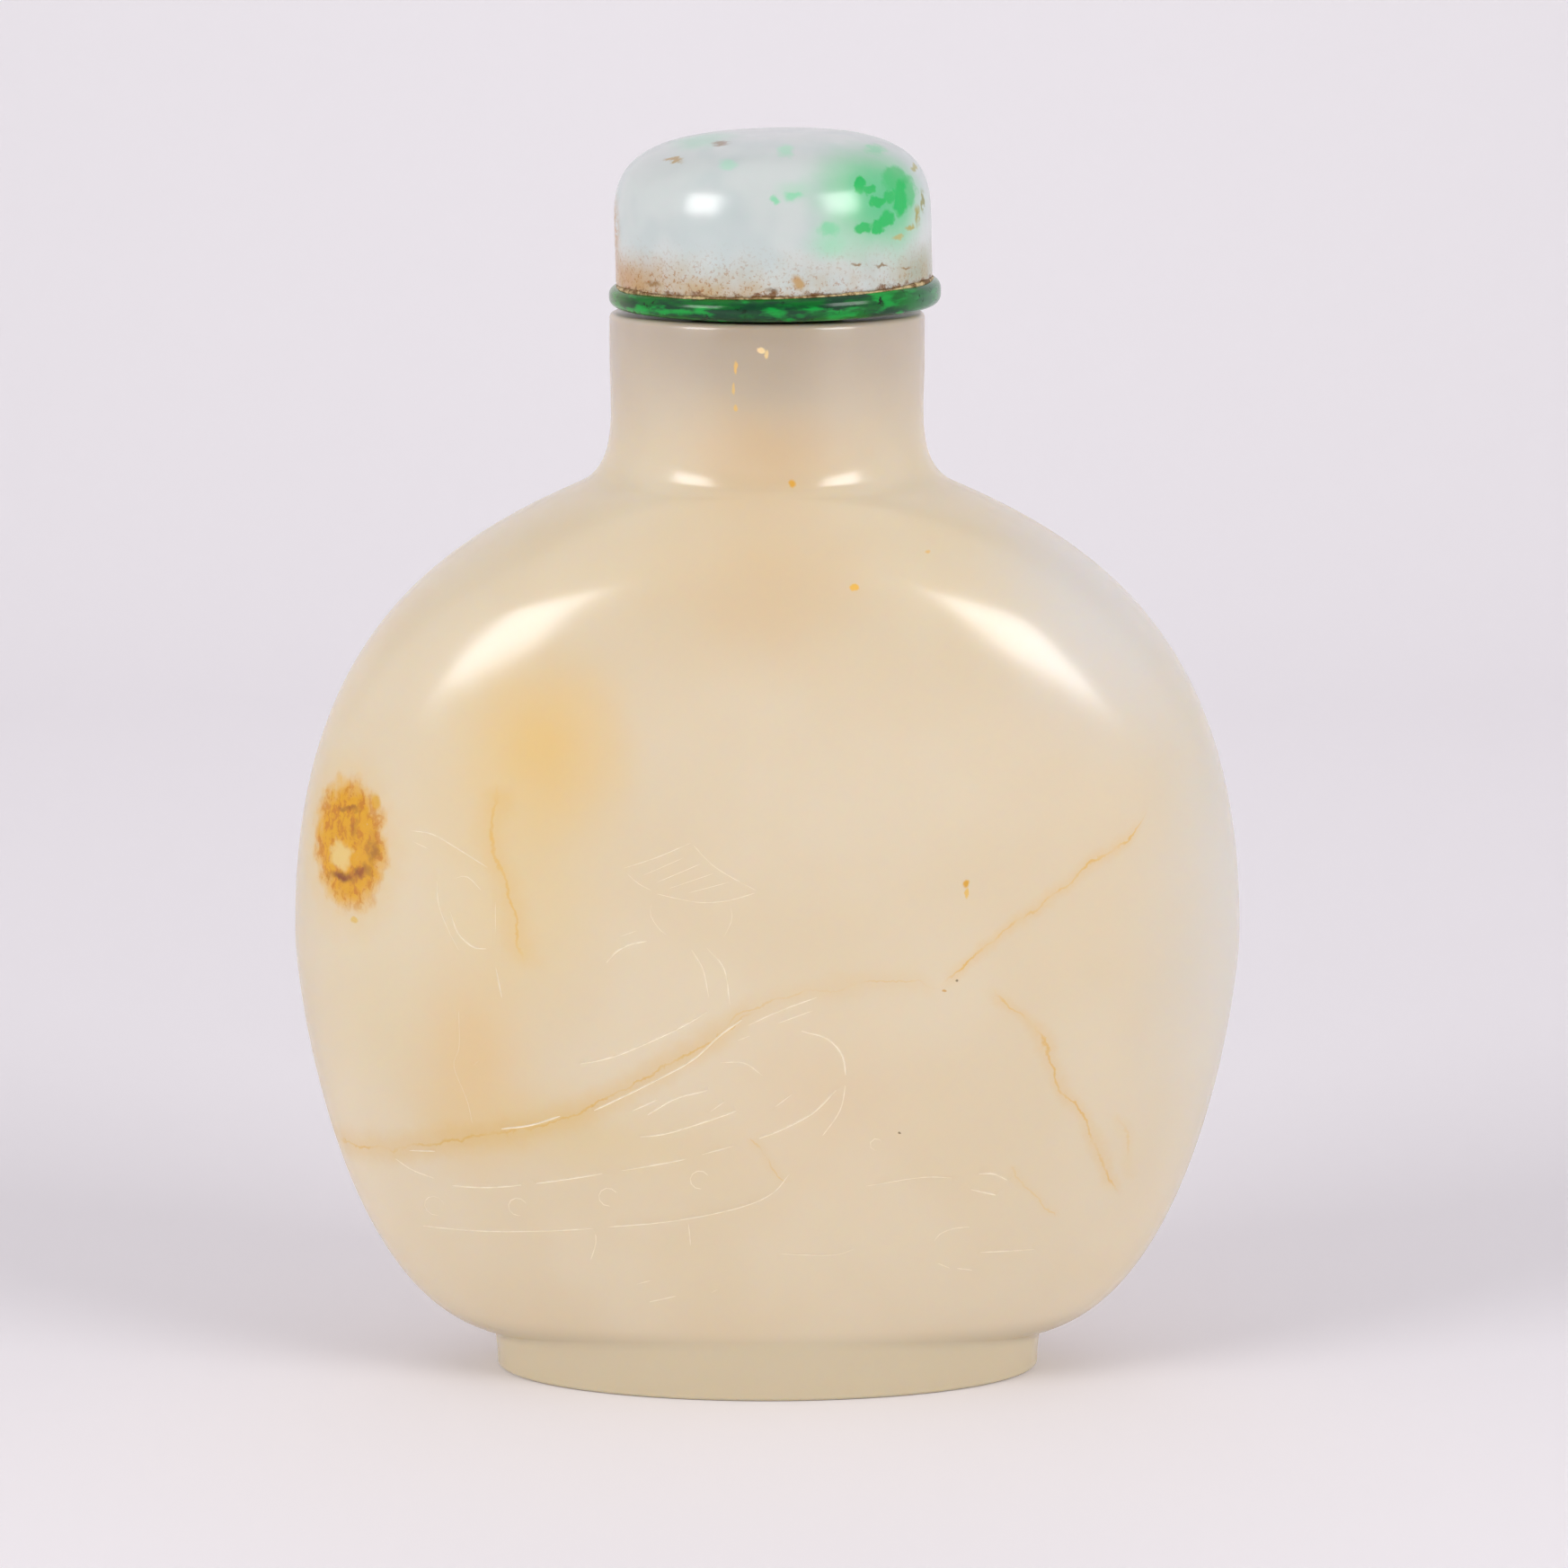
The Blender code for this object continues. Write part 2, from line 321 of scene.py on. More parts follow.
nephrite = {
    "cream": "ddcdaf", "paleCream": "dfd1b6", "mottle": 10.0, "roughness": 0.21, "ior": 1.61,
    "glow": 0.6, "glowColours": (1.0, 0.75, 0.45),
    # soft clouds of colour: centre, reach, core share, colour, strength; some of them are painted shade and
    # painted reflection, as marked
    "clouds": [
        # painted shade: these two grey the neck all round, and more in a band down its middle, for the dark
        # bore and cork seen through the stone
        ((0, 0, 60), (16, 16, 14), 0.45, "baad9f", 0.95),
        ((0, 0, 58), (7.5, 24, 11), 0.3, "a8977f", 0.4),
        ((0, -9, 50), (7, 8, 4), 0.0, "d2b488", 0.6),
        ((0, -9, 43.5), (8, 8, 8), 0.0, "dabf95", 0.7),
        ((-11.4, -10, 34.8), (5.4, 7, 7.0), 0.0, "e5c172", 0.85),
        ((-13, -10, 29), (8, 6, 13), 0.0, "e0c890", 0.6),
        ((-15.6, -8.5, 18.0), (5.0, 5, 8), 0.0, "e1c187", 0.7),
        ((-11, -9, 15), (11, 5, 3.2), 0.0, "dcc48a", 0.5),
        ((-19.8, -7, 21), (5, 6, 8), 0.0, "dfcfa8", 0.45),
        # painted reflection: these two lay a paler, greyer tone on the right end, where the pale room
        # reflects as the face rolls away
        ((18, -5, 42), (11, 10, 10), 0.15, "dbd6cf", 0.9),
        ((25, 0, 26), (10.5, 14, 28), 0.15, "d5d0c7", 0.85),
        ((-26, 0, 26), (5, 14, 24), 0.0, "ccc0ac", 0.6),
        ((2, -11, 17), (9, 6, 8), 0.0, "dfcaaa", 0.4),
        ((6, 10, 36), (12, 8, 9), 0.0, "e6c896", 0.6),
        ((-8, 10, 20), (9, 8, 10), 0.0, "e2cba4", 0.5),
    ],
    # painted shade: below footTop the foot, under the belly, is darkened and greyed
    "footTop": 3.9, "footFade": 1.2, "footPaintedShade": "cec0a3", "footShadowStrength": 0.85,
    "ground": "dfd0b2", "groundPale": "ecdfc6", "groundRoughness": 0.55,
    # loose flakes and tiny inclusions: centre, reach, colour
    "flakes": [
        ((-0.3, -8.3, 55.7), (0.28, 1, 0.2), "f0d9a8"), ((0.0, -8.3, 55.5), (0.16, 1, 0.3), "e9cf9a"),
        ((-1.6, -8.2, 54.8), (0.12, 1, 0.45), "e3bd76"), ((-1.7, -8.2, 53.7), (0.1, 1, 0.4), "dfc083"),
        ((-1.6, -8.2, 52.7), (0.16, 1, 0.2), "e2c17d"), ((1.3, -8.8, 48.8), (0.24, 1.5, 0.3), "e2b04e"),
        ((4.5, -11, 43.8), (0.3, 1.5, 0.24), "ecc262"), ((8.3, -10.5, 45.4), (0.25, 2, 0.15), "e2bb70"),
        ((10.3, -10.5, 28.3), (0.24, 1.5, 0.3), "d9a93a"),
        ((10.35, -10.5, 27.8), (0.13, 1.5, 0.35), "e2bf6c"),
        ((9.9, -10.5, 23.2), (0.1, 1.5, 0.1), "8a7a5c"), ((9.2, -10.5, 22.7), (0.16, 1.5, 0.1), "cfa765"),
        ((6.9, -11, 15.1), (0.09, 1.5, 0.09), "8f7f62"),
        ((-20.45, -6.2, 31.9), (0.4, 2, 0.6), "d9a820"), ((-21.7, -5.8, 25.5), (0.25, 2, 0.22), "dcbc6c"),
    ],
}

russetSkin = {
    "centre": (-21.9, -5.4, 29.5), "reach": (2.75, 4.2, 4.0), "gold": "dea600", "orange": "c67c00",
    "brown": "843c00", "glowShade": "dfbd72", "glowReach": (4.6, 6, 6.2),
    "hole": (-22.3, -5.0, 28.9), "holeReach": (0.8, 1.6, 1.05), "holeShade": "e3c67c",
    # the darker bands round the middle: centre, reach and strength
    "bands": [((-22.3, -5.3, 27.7), (1.5, 2.2, 0.5), 0.95), ((-21.1, -5.7, 28.1), (0.7, 2.0, 0.6), 0.85),
              ((-20.6, -5.9, 29.3), (0.45, 2.0, 1.4), 0.8), ((-21.9, -5.4, 31.3), (0.9, 2.2, 0.28), 0.6),
              ((-21.5, -5.5, 30.4), (0.3, 2, 0.7), 0.35)],
}

# Veins of iron stain: each runs along one axis, and its points give the other one
veinLook = {"endShare": 0.1, "wave": 0.6, "waveGrain": 1.5, "patchGrain": 2.2, "behind": 2.0}
fissures = {
    "longFissure": {
        "along": "X", "colour": "d9b260", "strength": 0.75, "width": 0.11, "halo": 1.4, "haloStrength": 0.34,
        "points": [(-25, 13.4), (-22.7, 12.9), (-20.2, 13.1), (-16.7, 14.1), (-13.8, 14.7), (-11, 15.6),
                   (-7.2, 17.6), (-2.5, 20.5), (-0.2, 22.2)],
    },
    "middleFissure": {
        "along": "X", "colour": "dcb76c", "strength": 0.4, "width": 0.1, "halo": 1.0, "haloStrength": 0.14,
        "points": [(-2.5, 20.5), (-0.2, 22.2), (3.3, 23.0), (6.8, 23.3), (9.1, 22.7)],
    },
    "rightFissure": {
        "along": "X", "colour": "deb45c", "strength": 0.85, "width": 0.12, "halo": 0.75, "haloStrength": 0.25,
        "points": [(8.9, 22.9), (10.3, 24.1), (12.9, 26.1), (14.8, 27.4), (17.4, 29.4), (19.1, 30.4),
                   (20, 32)],
    },
    "lowerFissure": {
        "along": "Z", "colour": "ddb462", "strength": 0.75, "width": 0.13, "halo": 0.8, "haloStrength": 0.25,
        "points": [(10.5, 18.6), (12.3, 17.8), (14.9, 16.8), (17.3, 15.3), (19.8, 14.4), (21.1, 13.4),
                   (22.1, 12.2), (23.0, 11.6)],
    },
    "uprightVein": {
        "along": "Z", "colour": "e0b450", "strength": 0.6, "width": 0.14, "halo": 1.4, "haloStrength": 0.24,
        "points": [(23.4, -12.4), (24.5, -12.7), (25.9, -13.0), (28.2, -13.5), (30.5, -14.3), (32.6, -14.0),
                   (33.6, -14.1)],
    },
    "lowFaintFissure": {
        "along": "Z", "colour": "dfbd74", "strength": 0.4, "width": 0.12, "halo": 0.6, "haloStrength": 0.12,
        "points": [(9.8, 15.1), (10.9, 14.5), (11.9, 13.4), (13.1, 12.9)],
    },
    "shortFissure": {
        "along": "Z", "colour": "dcb96c", "strength": 0.42, "width": 0.11, "halo": 0.6, "haloStrength": 0.12,
        "points": [(12.4, 1.1), (13.2, 0.4), (14.1, -0.2), (15.0, -0.9)],
    },
    "sideFissure": {
        "along": "Z", "colour": "dfbd74", "strength": 0.35, "width": 0.12, "halo": 0.6, "haloStrength": 0.12,
        "points": [(11.3, 19.4), (12.6, 19.1), (14.0, 18.9), (15.5, 18.2)],
    },
}


def layFissure(tree, place, colour, vein):
    # a thin wavering line with a soft halo, on the front half only
    axes = addNode(tree, "ShaderNodeSeparateXYZ", {}, {0: place})
    along, across = (axes.outputs[name] for name in ("XZ" if vein["along"] == "X" else "ZX"))
    starts, heights = zip(*vein["points"])
    first, last = starts[0], starts[-1]
    low, high = min(heights), max(heights)
    route = addNode(tree, "ShaderNodeFloatCurve", {}, {"Value": remap(tree, along, 0, 1, first, last)})
    curve = route.mapping.curves[0]
    marks = [((a - first) / (last - first), (b - low) / (high - low)) for a, b in vein["points"]]
    curve.points[0].location, curve.points[1].location = marks[0], marks[-1]
    for mark in marks[1:-1]:
        curve.points.new(*mark)
    route.mapping.update()
    wave = remap(tree, speckle(tree, place, veinLook["waveGrain"], 4.0, 0.65),
                 -veinLook["wave"], veinLook["wave"])
    level = addNode(tree, "ShaderNodeMath", {"operation": "ADD"},
                    {0: remap(tree, route.outputs["Value"], low, high), 1: wave})
    away = addNode(tree, "ShaderNodeMath", {"operation": "SUBTRACT"}, {0: across, 1: level.outputs[0]})
    away = addNode(tree, "ShaderNodeMath", {"operation": "ABSOLUTE"}, {0: away.outputs[0]})
    reach = (last - first) * veinLook["endShare"]
    inside = times(tree, fade(tree, along, first, first + reach), fade(tree, along, last, last - reach))
    inside = times(tree, inside, fade(tree, axes.outputs["Y"], veinLook["behind"], -veinLook["behind"]))
    patchy = fade(tree, speckle(tree, place, veinLook["patchGrain"], 3.0), 0.3, 0.62)
    halo = times(tree, fade(tree, away.outputs[0], vein["halo"], 0.0), inside)
    colour = tint(tree, colour, vein["colour"], times(tree, halo, vein["haloStrength"]))
    line = times(tree, fade(tree, away.outputs[0], vein["width"], 0.0), times(tree, inside, patchy))
    return tint(tree, colour, vein["colour"], times(tree, line, vein["strength"]))


def makeNephrite():
    # waxy, slightly cloudy stone: light sinks in a little, and a soft gloss lies on top
    finish, tree, shader, place = newMaterial("pale_nephrite")
    broad = wander(tree, place, 12.0, 2.5)
    colour = blend(tree, nephrite["cream"], nephrite["paleCream"],
                   fade(tree, speckle(tree, place, nephrite["mottle"]), 0.35, 0.7))
    # clouds of colour, among them painted shade on the neck and painted reflection on the right end
    for centre, reach, core, shade, strength in nephrite["clouds"]:
        amount = times(tree, patch(tree, broad, centre, reach, core), strength)
        colour = tint(tree, colour, shade, amount)
    # painted shade on the foot under the belly, easing in below footTop
    height = addNode(tree, "ShaderNodeSeparateXYZ", {}, {0: place})
    footTop = nephrite["footTop"]
    shadeUnderBelly = fade(tree, height.outputs["Z"], footTop, footTop - nephrite["footFade"])
    colour = tint(tree, colour, nephrite["footPaintedShade"], times(tree, shadeUnderBelly, nephrite["footShadowStrength"]))
    for vein in fissures.values():
        colour = layFissure(tree, place, colour, vein)
    close = wander(tree, place, 0.35, 0.12)
    for centre, reach, shade in nephrite["flakes"]:
        colour = tint(tree, colour, shade, patch(tree, close, centre, reach, 0.5))
    ragged = wander(tree, place, 0.85, 0.68)
    glow = patch(tree, ragged, russetSkin["centre"], russetSkin["glowReach"], 0.2)
    colour = tint(tree, colour, russetSkin["glowShade"], times(tree, glow, 0.6))
    streaks = speckle(tree, stretch(tree, ragged, (1.0, 1.0, 0.35)), 0.4, 4.0, 0.7)
    body = patch(tree, ragged, russetSkin["centre"], russetSkin["reach"], 0.62)
    body = times(tree, body, fade(tree, streaks, 0.2, 0.36))
    colour = tint(tree, colour, russetSkin["gold"], body)
    rusty = fade(tree, streaks, 0.47, 0.62)
    colour = tint(tree, colour, russetSkin["orange"], times(tree, body, times(tree, rusty, 0.85)))
    for centre, reach, strength in russetSkin["bands"]:
        dark = times(tree, patch(tree, ragged, centre, reach, 0.1), strength)
        colour = tint(tree, colour, russetSkin["brown"], dark)
    colour = tint(tree, colour, russetSkin["holeShade"],
                  patch(tree, ragged, russetSkin["hole"], russetSkin["holeReach"], 0.5))
    tree.links.new(colour, shader.inputs["Base Color"])
    polish(tree, shader, place, nephrite["roughness"], 3.4, 0.02)
    letLightIn(shader, nephrite)
    return finish


def makeGroundNephrite():
    # the floor of an engraved line, left dull and pale by the wheel
    finish, tree, shader, place = newMaterial("ground_nephrite")
    colour = blend(tree, nephrite["ground"], nephrite["groundPale"],
                   fade(tree, speckle(tree, place, 0.6), 0.3, 0.7))
    tree.links.new(colour, shader.inputs["Base Color"])
    shader.inputs["Roughness"].default_value = nephrite["groundRoughness"]
    shader.inputs["IOR"].default_value = nephrite["ior"]
    return finish


# The flask: an outline for the broad face and one for the side, turned into one oval form

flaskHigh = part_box("bottle_body")[1]
flask = {
    "halfWidth": flaskHigh[0] / mm, "halfDepth": flaskHigh[1] / mm, "lip": flaskHigh[2] / mm,
    "widest": 23.8, "shoulder": (10.0, 47.9), "shoulderSlope": 23.9,
    "sideShoulder": (8.63, 48.1), "sideSlope": 51,
    # how far the curves' handles reach, as shares of the span, on the front and on the side
    "neckShares": (0.367, 0.373), "sideNeckShares": (0.95, 0.14),
    "shoulderShares": (0.31, 0.68), "sideShoulderShares": (0.241, 0.97),
    "bellyShare": 0.153, "endTuck": 0.789, "frontTuck": 0.254, "creaseStart": 0.985, "creaseSteps": 5,
    "neckRadius": 8.32, "neckStraight": 2.6, "lipRound": 0.3, "boreRadius": 4.2,
    "footHalfWidth": 14.74, "footHalfDepth": 8.49, "footEndTop": 2.0, "footFrontTop": 3.14,
    "footEndSlope": 9.2, "footFrontSlope": 60.7, "footTaper": 0.12, "footRound": 0.25, "footRim": 1.8,
    "recess": 0.8, "recessSlant": 0.6,
    "sideWall": 4.3, "frontWall": 3.1, "topWall": 1.2, "floorWall": 3.0,
    # how far each level droops from the middle of the face to the ends, and the left-right difference
    "droop": 3.3, "droopStart": 0.06, "droopLean": 1.4,
    "lipSteps": 5, "neckSteps": 18, "shoulderSteps": 48, "bellySteps": 44, "segments": 256,
}


def flaskOutline(half, shoulder, slope, neckShares, shoulderShares, corner, tangent):
    # from the lip's outer edge down to the recess under the foot, and the shoulder's curve by itself
    slope = math.radians(slope)
    radius, widest = flask["neckRadius"], flask["widest"]
    flareTop = flask["lip"] - flask["neckStraight"]
    straight, flare = (share * (flareTop - shoulder[1]) for share in neckShares)
    reach, drop = (share * (shoulder[1] - widest) for share in shoulderShares)
    bellyDrop = flask["bellyShare"] * (widest - flask["footEndTop"])
    points = roundEdge((radius - flask["lipRound"], flask["lip"] - flask["lipRound"]), flask["lipRound"],
                       90, 0, flask["lipSteps"])
    points += [(radius, flareTop + 1.3), (radius, flareTop)]
    points += bezier(points[-1], (radius, flareTop - straight),
                     (shoulder[0] - flare * math.cos(slope), shoulder[1] + flare * math.sin(slope)),
                     shoulder, flask["neckSteps"])
    shoulderCurve = (shoulder,
                     (shoulder[0] + reach * math.cos(slope), shoulder[1] - reach * math.sin(slope)),
                     (half, widest + drop), (half, widest))
    points += bezier(*shoulderCurve, flask["shoulderSteps"])
    points += bezier(points[-1], (half, widest - bellyDrop), tangent, corner, flask["bellySteps"],
                     flask["creaseStart"])
    # a soft crease into the foot's wall
    start, end = points[-1], (corner[0] - 0.02, corner[1] - 0.35)
    for step in range(1, flask["creaseSteps"] + 1):
        t = step / flask["creaseSteps"]
        points.append(tuple((1 - t) ** 2 * start[i] + 2 * t * (1 - t) * corner[i] + t * t * end[i]
                            for i in (0, 1)))
    wall = corner[0] - flask["footTaper"]
    turn = flask["footRound"]
    points.append((wall + 0.03, (end[1] + turn) / 2))
    points += roundEdge((wall - turn, turn), turn, 0, -90, 5)
    rimInside = corner[0] - flask["footRim"]
    points += [((wall - turn + rimInside) / 2, 0), (rimInside + 0.06, 0), (rimInside, 0.04)]
    points += [(rimInside - flask["recessSlant"], flask["recess"] - 0.05)]
    points += [(rimInside - flask["recessSlant"] - 0.08, flask["recess"])]
    points += [(rimInside * share, flask["recess"]) for share in (0.75, 0.5, 0.25)]
    return points, shoulderCurve


def hollowOutline(half):
    # from the middle of the hollow's floor up to the lip's inner edge
    top = flask["shoulder"][1] - flask["topWall"]
    floor = flask["footFrontTop"] + flask["floorWall"]
    bore, widest = flask["boreRadius"], flask["widest"]
    run = (half - bore) * 0.34
    down = [(bore, flask["lip"] - 3), (bore, top + 2.5), (bore, top)]
    down += bezier((bore, top), (bore + run, top - run * math.sin(math.radians(flask["shoulderSlope"]))),
                   (half, widest + (top - widest) * 0.66), (half, widest), 16)
    down += bezier((half, widest), (half, widest - (widest - floor) * 0.45), (half * 0.86, floor),
                   (half * 0.43, floor), 12)
    down += [(half * 0.2, floor)]
    lip = roundEdge((bore + flask["lipRound"], flask["lip"] - flask["lipRound"]), flask["lipRound"],
                    180, 90, 4)
    return down[::-1] + lip


def makeFlask(finishes):
    halfWidth, halfDepth, widest = flask["halfWidth"], flask["halfDepth"], flask["widest"]
    endSlope, frontSlope = (math.radians(flask[name]) for name in ("footEndSlope", "footFrontSlope"))
    endCorner = (flask["footHalfWidth"], flask["footEndTop"])
    frontCorner = (flask["footHalfDepth"], flask["footFrontTop"])
    tuck = (halfWidth - endCorner[0]) * flask["endTuck"]
    frontTuck = (widest - frontCorner[1]) * flask["frontTuck"]
    broad = flaskOutline(halfWidth, flask["shoulder"], flask["shoulderSlope"],
                         flask["neckShares"], flask["shoulderShares"], endCorner,
                         (endCorner[0] + tuck * math.cos(endSlope),
                          endCorner[1] + tuck * math.sin(endSlope)))[0]
    side, sideShoulder = flaskOutline(halfDepth, flask["sideShoulder"], flask["sideSlope"],
                                      flask["sideNeckShares"], flask["sideShoulderShares"], frontCorner,
                                      (frontCorner[0] + frontTuck * math.cos(frontSlope),
                                       frontCorner[1] + frontTuck * math.sin(frontSlope)))
    hollowBroad = hollowOutline(halfWidth - flask["sideWall"])
    hollowSide = hollowOutline(halfDepth - flask["frontWall"])
    floor, recess = (0, flask["footFrontTop"] + flask["floorWall"]), (0, flask["recess"])
    broad = [floor] + hollowBroad + broad + [recess]
    side = [floor] + hollowSide + side + [recess]

    # spun as a stack of round rings first, then each ring takes its own oval and droop
    shoulderTop = 1 + len(hollowBroad) + flask["lipSteps"] + 3 + flask["neckSteps"]
    bm, level = spinProfile([(min(index, len(broad) - 1 - index), index) for index in range(len(broad))],
                            flask["segments"])
    for vert in bm.verts:
        front, flank = broad[vert[level]], side[vert[level]]
        radius = math.hypot(vert.co.x, vert.co.y)
        across, along = (vert.co.x / radius, vert.co.y / radius) if radius > 1e-6 else (1, 0)
        down = (vert[level] - shoulderTop + 1) / flask["shoulderSteps"]
        if 0 < down < 1:
            power = flask["droop"] + flask["droopLean"] * across
            late = flask["droopStart"] * down + (1 - flask["droopStart"]) * down**power
            flank = onCurve(*sideShoulder, late)
        vert.co = (front[0] * across * mm, flank[0] * along * mm,
                   (front[1] * across**2 + flank[1] * along**2) * mm)
    body = finishPiece(bm, "flask", finishes)
    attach(body, "root")
    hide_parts("bottle_body")
    return body


# Engraving on the broad face: an old and common subject, a man with a straw hat in a sampan.
# Each line is a depth share and its points across and up the face.
engraving = {
    "lineRadius": 0.062, "lift": 0.034, "step": 0.3, "holeDepth": 0.5,
    # the share of the radius that the faintest line keeps, and the taper of a line's last two points
    "faintest": 0.45, "taper": (0.72, 0.88),
    "hat": [
        (0.6, [(-7.4, 29.2), (-5.7, 29.8), (-3.9, 30.6)]), (0.6, [(-3.8, 30.5), (-2.6, 29.3), (-0.5, 28.1)]),
        (0.5, [(-7.3, 29.0), (-6.6, 28.4), (-5.8, 28.0)]),
        (0.6, [(-5.7, 27.9), (-3.6, 27.5), (-2.0, 27.6), (-0.6, 28.0)]),
        (0.4, [(-6.6, 28.75), (-4.1, 29.9)]), (0.4, [(-5.9, 28.4), (-3.2, 29.6)]),
        (0.4, [(-5.3, 28.1), (-2.5, 29.1)]), (0.4, [(-4.3, 27.9), (-1.8, 28.6)]),
    ],
    "head": [
        (0.4, [(-5.9, 27.6), (-6.0, 26.8), (-5.5, 26.0), (-4.9, 25.6)]),
        (0.4, [(-1.9, 27.4), (-1.8, 26.6), (-2.3, 25.5)]),
    ],
    "robe": [
        (0.9, [(-8.3, 24.2), (-7.8, 24.8), (-7.1, 25.2), (-6.2, 25.4)]), (0.6, [(-7.6, 25.6), (-6.7, 25.95)]),
        (0.7, [(-3.9, 25.0), (-3.3, 24.0), (-3.0, 22.5)]), (0.7, [(-3.1, 25.1), (-2.2, 24.0), (-1.9, 22.1)]),
        (1.0, [(-9.7, 18.75), (-8.0, 19.2), (-6.2, 20.0), (-4.6, 20.8), (-3.1, 21.7)]),
        (0.9, [(1.8, 20.7), (3.1, 20.3), (3.9, 19.4), (4.1, 18.3)]),
        (0.6, [(4.1, 17.9), (3.8, 16.4), (2.8, 14.9)]),
        (1.0, [(3.6, 17.5), (2.4, 16.3), (1.0, 15.5), (-0.4, 14.9)]),
        (0.7, [(-2.4, 19.0), (-1.2, 19.0), (-0.2, 18.3)]), (0.7, [(1.3, 17.3), (0.4, 16.6)]),
        (0.8, [(-7.0, 16.3), (-5.7, 16.95)]), (0.9, [(-6.2, 16.1), (-4.8, 17.0), (-3.1, 17.5)]),
        (1.0, [(-6.6, 14.9), (-5.3, 15.1), (-3.2, 15.8), (-1.6, 16.4)]), (0.6, [(-3.0, 16.3), (-2.2, 16.9)]),
    ],
    "pole": [
        (1.0, [(-13.9, 14.95), (-12.4, 15.25), (-10.8, 15.85)]), (0.8, [(-18.9, 13.2), (-17.5, 13.35)]),
        (1.0, [(-9.0, 16.25), (-6.2, 17.75), (-3.9, 19.1), (-2.5, 20.4), (-1.3, 21.3)]),
        (0.9, [(-1.5, 20.2), (-0.9, 20.45)]), (0.7, [(-1.0, 21.0), (0.7, 21.8), (2.6, 22.5)]),
        (0.6, [(0.5, 21.1), (2.4, 21.8)]),
    ],
    "hull": [
        (0.8, [(-19.7, 12.6), (-18.8, 12.1), (-17.6, 11.8)]),
        (1.0, [(-16.6, 11.5), (-14.8, 11.6), (-12.9, 11.9)]),
        (1.0, [(-12.1, 12.05), (-9.5, 12.6), (-8.6, 12.8)]),
        (0.8, [(-7.6, 13.0), (-4.8, 13.6), (-4.2, 13.75)]), (0.7, [(-3.4, 14.0), (-1.7, 14.5)]),
        (0.7, [(-18.3, 8.9), (-14.6, 9.1), (-11.6, 9.4), (-9.1, 9.7)]),
        (0.6, [(-8.5, 9.8), (-4.8, 10.3), (-1.4, 11.1), (0.3, 11.9), (1.2, 13.0)]),
        (0.6, [(-9.0, 9.5), (-9.0, 8.8), (-9.3, 7.8)]), (0.6, [(-4.1, 10.2), (-4.0, 8.9)]),
    ],
    "paddle": [
        (0.8, [(-16.5, 26.5), (-16.1, 25.4), (-15.3, 24.7), (-14.6, 24.65)]),
        (0.5, [(-17.2, 28.2), (-17.1, 26.8), (-16.6, 25.5), (-16.0, 24.4)]),
        (0.5, [(-16.4, 28.2), (-15.6, 28.4), (-14.8, 27.7)]), (0.4, [(-14.1, 27.4), (-14.1, 25.3)]),
        (0.65, [(-18.6, 30.6), (-17.4, 30.5), (-16.0, 29.8), (-14.5, 28.95)]),
        (0.5, [(-18.6, 30.1), (-17.6, 29.7)]),
        (0.8, [(-14.1, 23.7), (-13.8, 22.1)]), (0.4, [(-14.9, 18.75), (-15.5, 18.2)]),
        (0.3, [(-16.1, 21.7), (-16.1, 19.3), (-16.4, 18.2), (-15.7, 16.3), (-15.4, 14.7)]),
    ],
    "water": [
        (1.0, [(11.1, 12.65), (11.9, 12.6), (12.6, 12.2)]), (1.0, [(10.7, 11.8), (12.0, 11.4)]),
        (0.6, [(8.7, 8.9), (9.1, 9.4), (9.8, 9.65), (10.7, 9.7)]), (0.8, [(11.2, 8.2), (14.1, 8.1)]),
        (0.9, [(9.0, 7.7), (9.6, 7.4)]), (0.9, [(10.0, 7.35), (10.8, 7.2)]),
        (0.5, [(0.5, 8.5), (3.5, 8.4), (4.7, 8.8)]), (0.5, [(5.0, 12.2), (8.0, 12.6), (9.8, 12.5)]),
        (0.8, [(-6.2, 5.6), (-4.8, 6.0)]), (0.6, [(-6.9, 6.6), (-6.0, 6.9)]),
        (0.6, [(-3.0, 6.2), (-2.5, 6.5)]),
    ],
    # the holes for the ropes: centre and radius
    "ropeHoles": [((-17.6, 10.2), 0.55), ((-13.1, 10.65), 0.5), ((-8.3, 11.5), 0.5), ((-3.5, 12.6), 0.5),
                  ((5.7, 14.5), 0.33)],
}


def smoothRoute(points, step):
    # even points on a smooth curve through the chosen ones
    if len(points) > 2:
        ends = [tuple(2 * a - b for a, b in zip(points[0], points[1]))] + list(points)
        ends.append(tuple(2 * a - b for a, b in zip(points[-1], points[-2])))
        smooth = []
        for p0, p1, p2, p3 in zip(ends, ends[1:], ends[2:], ends[3:]):
            for part in range(12):
                t = part / 12
                smooth.append(tuple(0.5 * (2 * p1[i] + (p2[i] - p0[i]) * t
                                           + (2 * p0[i] - 5 * p1[i] + 4 * p2[i] - p3[i]) * t * t
                                           + (3 * p1[i] - p0[i] - 3 * p2[i] + p3[i]) * t**3) for i in (0, 1)))
        points = smooth + [points[-1]]
    route, owed = [points[0]], 0.0
    for start, end in zip(points, points[1:]):
        length = math.dist(start, end)
        while owed + length >= step:
            share = (step - owed) / length
            start = tuple(a + (b - a) * share for a, b in zip(start, end))
            route.append(start)
            length = math.dist(start, end)
            owed = 0.0
        owed += length
    return route + [points[-1]] if owed > step * 0.3 else route[:-1] + [points[-1]]


